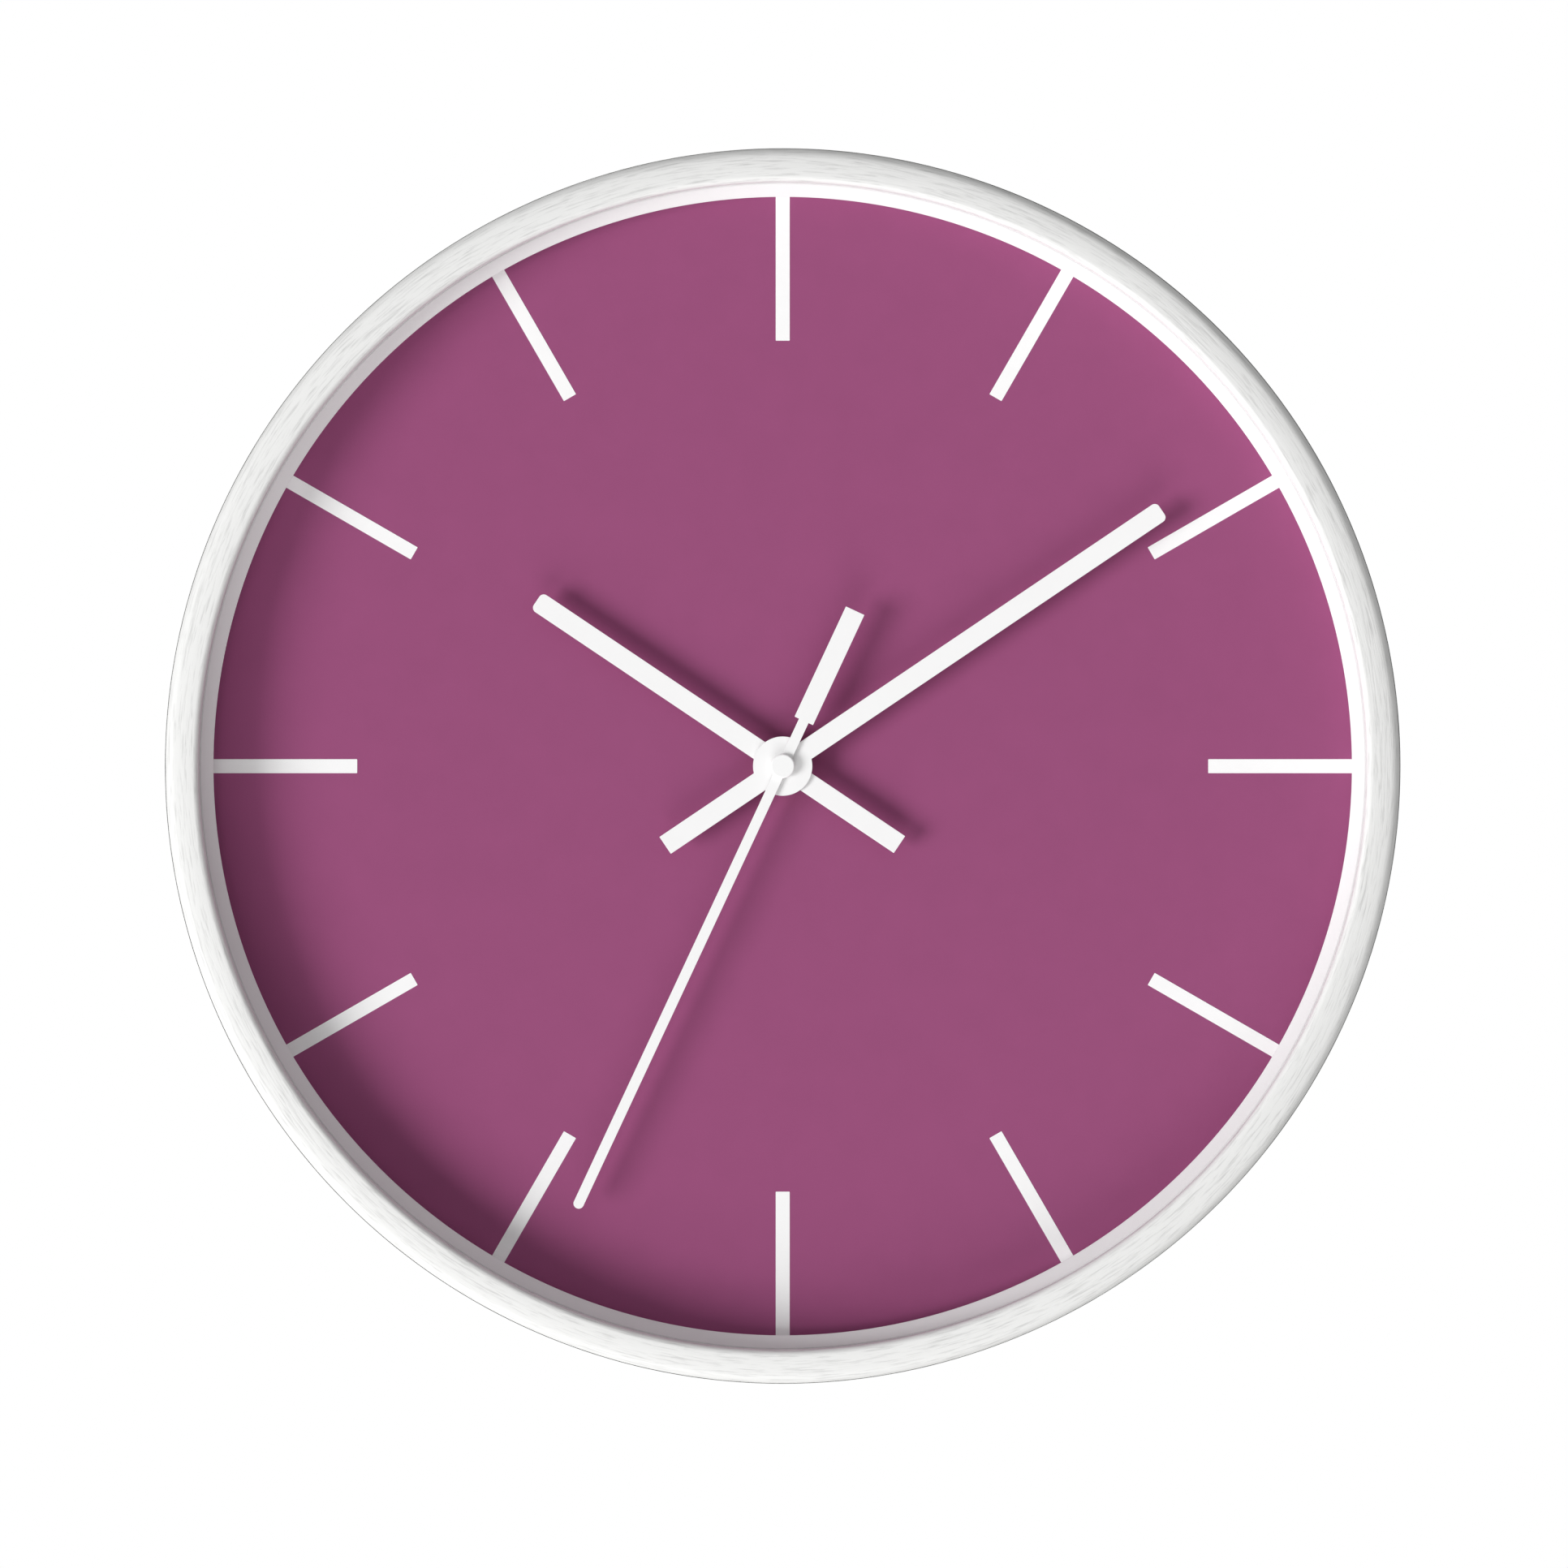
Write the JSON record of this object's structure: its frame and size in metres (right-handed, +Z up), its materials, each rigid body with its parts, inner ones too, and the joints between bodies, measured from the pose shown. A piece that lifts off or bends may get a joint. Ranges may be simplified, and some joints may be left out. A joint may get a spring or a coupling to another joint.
{
  "type": "wall clock",
  "caption": "Round wall clock: white painted wooden frame, plum dial with white bar marks, white hands, clear lens, quartz movement with battery and hanger on the back.",
  "frame": {"origin": "where the nail's axis meets the wall: the centre of the hanger's nail hole, taken back to the wall plane y = 0, 36 mm above the dial's centre", "axes": "+Y points from the dial into the wall, so the dial faces -Y; +Z is up, towards 12 o'clock; +X points to 3 o'clock, to the right as seen from the front"},
  "size_m": [0.254, 0.04, 0.254],
  "materials": {
    "frame": "white painted wood, fine grain showing through, satin",
    "lens": "clear acrylic",
    "spacer": "smooth white",
    "dial": "matt print, plum with white hour marks",
    "backboard": "bare brown hardboard",
    "steel": "zinc plated",
    "brass": "turned",
    "rubber": "matt black",
    "hands": "white satin paint",
    "case": "fine black texture",
    "gears": "natural white moulding",
    "magnet": "dark grey sintered ferrite",
    "iron": "annealed sheet",
    "copper": "enamelled copper wire",
    "board": "green circuit resin",
    "battery": "plain dark wrapper"
  },
  "bodies": {
    "clock_body": {"frame": "frame", "lens": "lens", "spacer_ring": "spacer", "dial": "dial", "backboard": "backboard", "point_1": "steel", "point_2": "steel", "point_3": "steel", "point_4": "steel", "point_5": "steel", "point_6": "steel", "threaded_bush": "brass", "washer": "steel", "hex_nut": "brass", "gasket": "rubber", "hanger_plate": "steel", "movement_case": "case", "rear_cover": "case", "middle_plate": "case", "stator_plate": "iron", "coil_core": "iron", "coil_bobbin": "case", "coil_winding": "copper", "circuit_board": "board", "chip": "case", "quartz_crystal": "steel", "contact_negative": "steel", "contact_positive": "steel"},
    "second_hand_set": {"second_hand": "hands", "second_boss": "hands", "seconds_wheel": "gears"},
    "minute_hand_set": {"minute_hand": "hands", "minute_pipe": "gears"},
    "hour_hand_set": {"hour_hand": "hands", "hour_wheel": "gears"},
    "setting_set": {"set_knob": "case", "setting_wheel": "gears"},
    "rotor": {"rotor_pinion": "gears", "rotor_magnet": "magnet"},
    "intermediate": {"intermediate_wheel": "gears"},
    "third": {"third_wheel": "gears"},
    "centre": {"centre_wheel": "gears"},
    "battery": {"battery_can": "battery", "battery_button": "steel"}
  },
  "joints": [
    {"name": "second_spin", "type": "hinge", "parent": "clock_body", "child": "second_hand_set", "pos_m": [0, -0.012, -0.036], "axis": [0, 1, 0], "continuous": true},
    {"name": "minute_spin", "type": "hinge", "parent": "clock_body", "child": "minute_hand_set", "pos_m": [0, -0.012, -0.036], "axis": [0, 1, 0], "continuous": true},
    {"name": "hour_spin", "type": "hinge", "parent": "clock_body", "child": "hour_hand_set", "pos_m": [0, -0.012, -0.036], "axis": [0, 1, 0], "continuous": true},
    {"name": "setting_spin", "type": "hinge", "parent": "clock_body", "child": "setting_set", "pos_m": [-0.01088, -0.012, -0.03093], "axis": [0, 1, 0], "continuous": true},
    {"name": "intermediate_spin", "type": "hinge", "parent": "clock_body", "child": "intermediate", "pos_m": [0.01076, -0.012, -0.03694], "axis": [0, 1, 0], "continuous": true},
    {"name": "rotor_spin", "type": "hinge", "parent": "clock_body", "child": "rotor", "pos_m": [0.01706, -0.012, -0.02943], "axis": [0, 1, 0], "continuous": true},
    {"name": "third_spin", "type": "hinge", "parent": "clock_body", "child": "third", "pos_m": [0, -0.012, -0.0252], "axis": [0, 1, 0], "continuous": true},
    {"name": "centre_spin", "type": "hinge", "parent": "clock_body", "child": "centre", "pos_m": [0, -0.012, -0.036], "axis": [0, 1, 0], "continuous": true},
    {"name": "battery_slide", "type": "slide", "parent": "clock_body", "child": "battery", "axis": [0, 1, 0], "range_m": [0, 0.02]}
  ],
  "couplings": [
    {"joint": "intermediate_spin", "follows": "second_spin", "ratio": -5},
    {"joint": "rotor_spin", "follows": "second_spin", "ratio": 30},
    {"joint": "third_spin", "follows": "second_spin", "ratio": -0.13333},
    {"joint": "centre_spin", "follows": "second_spin", "ratio": 0.016667},
    {"joint": "setting_spin", "follows": "minute_spin", "ratio": -0.33333},
    {"joint": "hour_spin", "follows": "minute_spin", "ratio": 0.083333}
  ]
}
